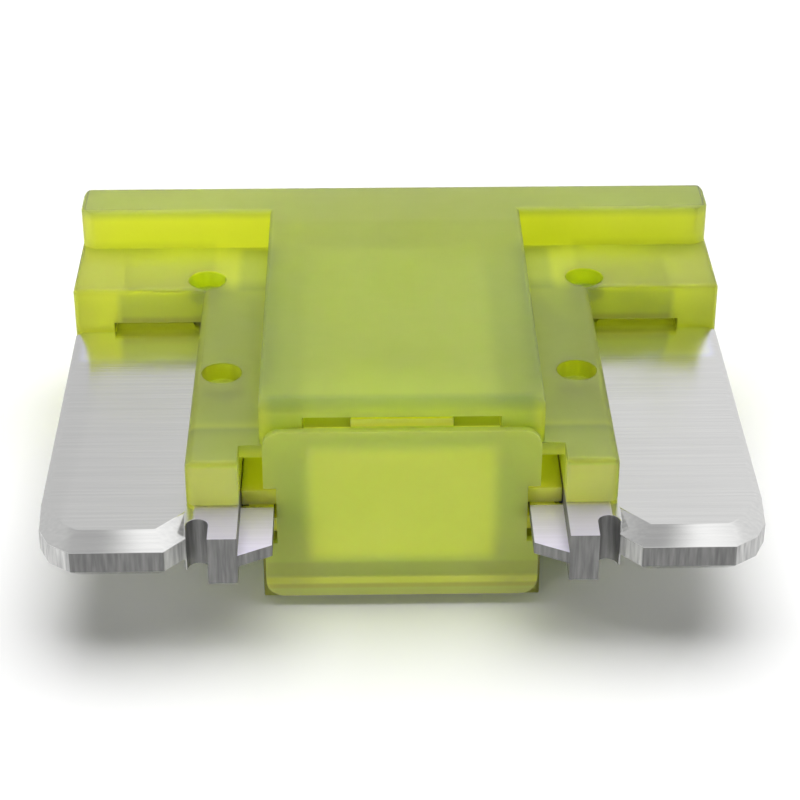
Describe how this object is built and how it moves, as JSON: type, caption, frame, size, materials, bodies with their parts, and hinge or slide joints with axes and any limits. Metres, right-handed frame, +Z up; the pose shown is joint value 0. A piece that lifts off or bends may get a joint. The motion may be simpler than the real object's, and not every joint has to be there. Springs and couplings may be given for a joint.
{
  "type": "blade fuse",
  "caption": "Low-profile blade fuse: translucent moulded housing, flat metal blades with bevelled tips, a thin link between them and a plugged mouth.",
  "frame": {"origin": "centre of the box on the underside, the broad face that the fuse lies on", "axes": "+X across the two blades, +Y from the blade tips to the head, +Z up through the thickness"},
  "size_m": [0.011, 0.0088, 0.0036],
  "materials": {
    "housing_plastic": "translucent lime-yellow moulded plastic with a satin skin",
    "element_metal": "bright zinc strip, rolled along X, with coined bevels",
    "cap_plastic": "translucent lime-yellow moulded plastic with a satin skin"
  },
  "bodies": {
    "root": {"housing": "housing_plastic", "fuse_element": "element_metal", "end_cap": "cap_plastic"}
  },
  "joints": []
}
